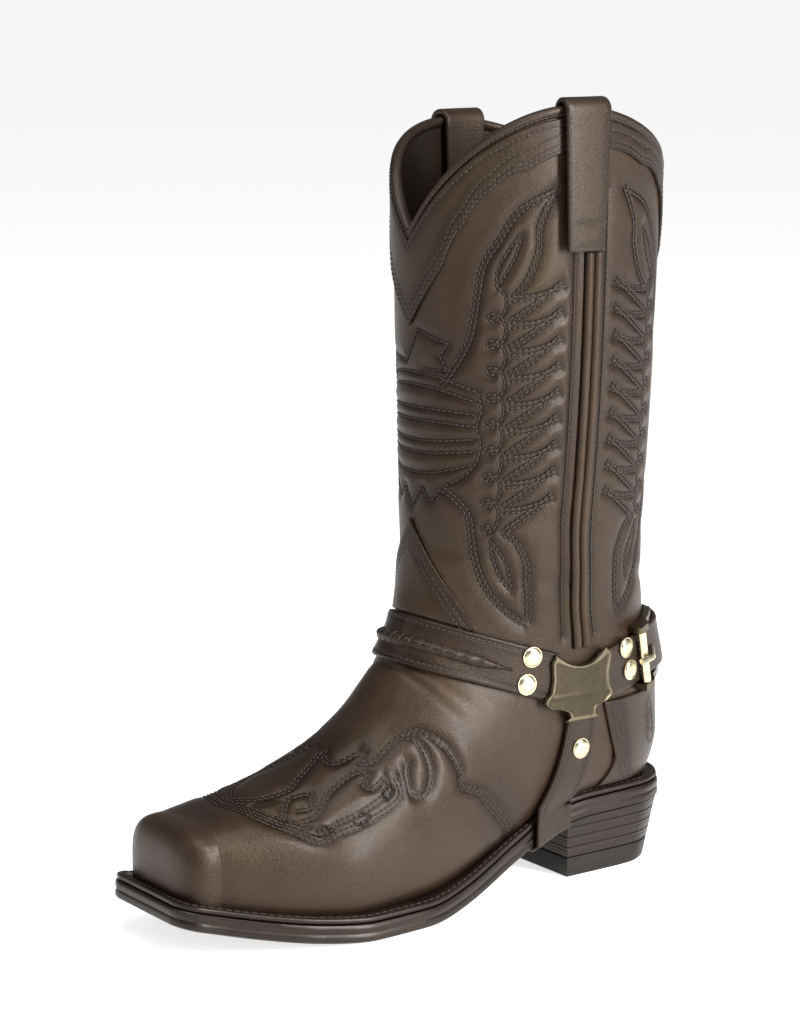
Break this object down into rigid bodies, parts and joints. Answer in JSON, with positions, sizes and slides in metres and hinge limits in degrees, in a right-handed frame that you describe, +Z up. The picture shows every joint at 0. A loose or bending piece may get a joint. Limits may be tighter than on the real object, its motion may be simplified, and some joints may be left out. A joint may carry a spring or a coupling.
{
  "type": "biker boot",
  "caption": "Square-toed biker boot with a stitched western shaft, scalloped collar, pull straps, stacked heel and a buckled ankle harness.",
  "frame": {"origin": "middle of the heel's face on the floor", "axes": "+X towards the toe, +Y towards the outer side of the left foot, +Z up the shaft"},
  "size_m": [0.3056, 0.1117, 0.394],
  "materials": {
    "upper_leather": "waxed dark brown leather with paler rubbed places",
    "strap_leather": "smooth dark brown harness leather",
    "sole_leather": "polished dark brown sole edge",
    "heel_rubber": "matte black rubber",
    "lining": "matte near-black lining leather",
    "aged_metal": "aged cast brass, dark in the low places",
    "rivet_brass": "bright pale brass"
  },
  "bodies": {
    "root": {"outsole": "sole_leather", "welt": "sole_leather", "heel_stack": "sole_leather", "heel_lift": "heel_rubber", "insole": "lining", "upper": "upper_leather", "collar_band": "upper_leather", "collar_binding": "strap_leather", "vamp_tongue": "upper_leather", "heel_counter": "upper_leather", "side_piping_outer": "upper_leather", "side_piping_inner": "upper_leather", "pull_strap_outer": "strap_leather", "pull_strap_inner": "strap_leather", "front_strap": "strap_leather", "under_strap": "strap_leather", "back_strap": "strap_leather", "buckled_strap": "strap_leather", "buckle_frame": "aged_metal", "buckle_roller": "rivet_brass", "buckle_prong": "rivet_brass", "harness_plate_outer": "aged_metal", "harness_plate_inner": "aged_metal", "rivet_outer_front_upper": "rivet_brass", "rivet_outer_front_lower": "rivet_brass", "rivet_outer_rear_upper": "rivet_brass", "rivet_outer_rear_lower": "rivet_brass", "rivet_outer_under": "rivet_brass", "rivet_inner_front_upper": "rivet_brass", "rivet_inner_front_lower": "rivet_brass", "rivet_inner_rear_upper": "rivet_brass", "rivet_inner_rear_lower": "rivet_brass", "rivet_inner_under": "rivet_brass"}
  },
  "joints": []
}
